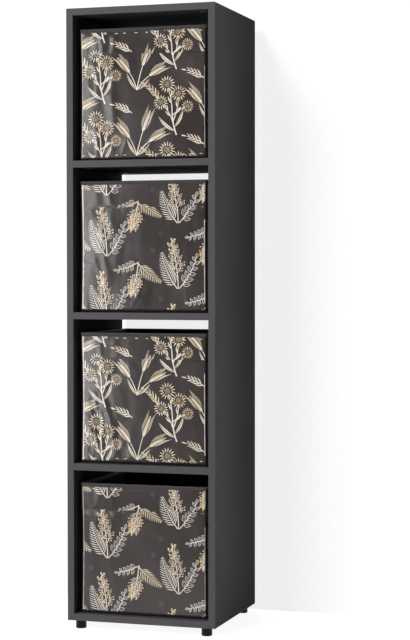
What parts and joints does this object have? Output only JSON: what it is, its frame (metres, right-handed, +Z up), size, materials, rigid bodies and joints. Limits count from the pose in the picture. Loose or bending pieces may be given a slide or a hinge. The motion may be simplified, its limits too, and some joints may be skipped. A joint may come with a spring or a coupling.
{
  "type": "shelving unit",
  "caption": "Tall narrow open shelving unit in dark grey board on short round feet, with printed fabric storage boxes that pull out of its compartments.",
  "frame": {"origin": "on the floor, under the middle of the unit's outline", "axes": "+Z up, the open front with the printed box faces looks along -Y, +X to the right of someone who faces it"},
  "size_m": [0.36, 0.33, 1.44],
  "materials": {
    "board": "matt dark grey melamine on chipboard",
    "edge_band": "satin dark grey edge band",
    "zinc_cam": "die-cast zinc",
    "steel_fastener": "zinc-plated steel",
    "beech_dowel": "raw beech",
    "foot_plastic": "black moulded plastic",
    "printed_fabric": "coated charcoal fabric with a gold print",
    "lining_fabric": "black non-woven fabric",
    "binding_tape": "black woven binding tape",
    "card_board": "pressed greyboard"
  },
  "bodies": {
    "carcass": {"left_side": "board", "right_side": "board", "top_board": "board", "bottom_board": "board", "shelf_1": "board", "shelf_2": "board", "shelf_3": "board", "front_edge_bands": "edge_band", "back_edge_bands": "edge_band", "end_edge_bands": "edge_band", "cam_housings": "zinc_cam", "cam_bolts": "steel_fastener", "dowels": "beech_dowel", "foot_front_left": "foot_plastic", "foot_front_right": "foot_plastic", "foot_back_left": "foot_plastic", "foot_back_right": "foot_plastic", "foot_screws": "steel_fastener"},
    "box_1": {"box_1_printed_cover": "printed_fabric", "box_1_lining": "lining_fabric", "box_1_rim_binding": "binding_tape", "box_1_seam_tapes": "binding_tape", "box_1_base_board": "card_board", "box_1_front_board": "card_board", "box_1_back_board": "card_board", "box_1_left_board": "card_board", "box_1_right_board": "card_board"},
    "box_2": {"box_2_printed_cover": "printed_fabric", "box_2_lining": "lining_fabric", "box_2_rim_binding": "binding_tape", "box_2_seam_tapes": "binding_tape", "box_2_base_board": "card_board", "box_2_front_board": "card_board", "box_2_back_board": "card_board", "box_2_left_board": "card_board", "box_2_right_board": "card_board"},
    "box_3": {"box_3_printed_cover": "printed_fabric", "box_3_lining": "lining_fabric", "box_3_rim_binding": "binding_tape", "box_3_seam_tapes": "binding_tape", "box_3_base_board": "card_board", "box_3_front_board": "card_board", "box_3_back_board": "card_board", "box_3_left_board": "card_board", "box_3_right_board": "card_board"},
    "box_4": {"box_4_printed_cover": "printed_fabric", "box_4_lining": "lining_fabric", "box_4_rim_binding": "binding_tape", "box_4_seam_tapes": "binding_tape", "box_4_base_board": "card_board", "box_4_front_board": "card_board", "box_4_back_board": "card_board", "box_4_left_board": "card_board", "box_4_right_board": "card_board"}
  },
  "joints": [
    {"name": "box_1_pull_out", "type": "slide", "parent": "carcass", "child": "box_1", "axis": [0, -1, 0], "range_m": [0, 0.326]},
    {"name": "box_2_pull_out", "type": "slide", "parent": "carcass", "child": "box_2", "axis": [0, -1, 0], "range_m": [0, 0.326]},
    {"name": "box_3_pull_out", "type": "slide", "parent": "carcass", "child": "box_3", "axis": [0, -1, 0], "range_m": [0, 0.326]},
    {"name": "box_4_pull_out", "type": "slide", "parent": "carcass", "child": "box_4", "axis": [0, -1, 0], "range_m": [0, 0.326]}
  ]
}
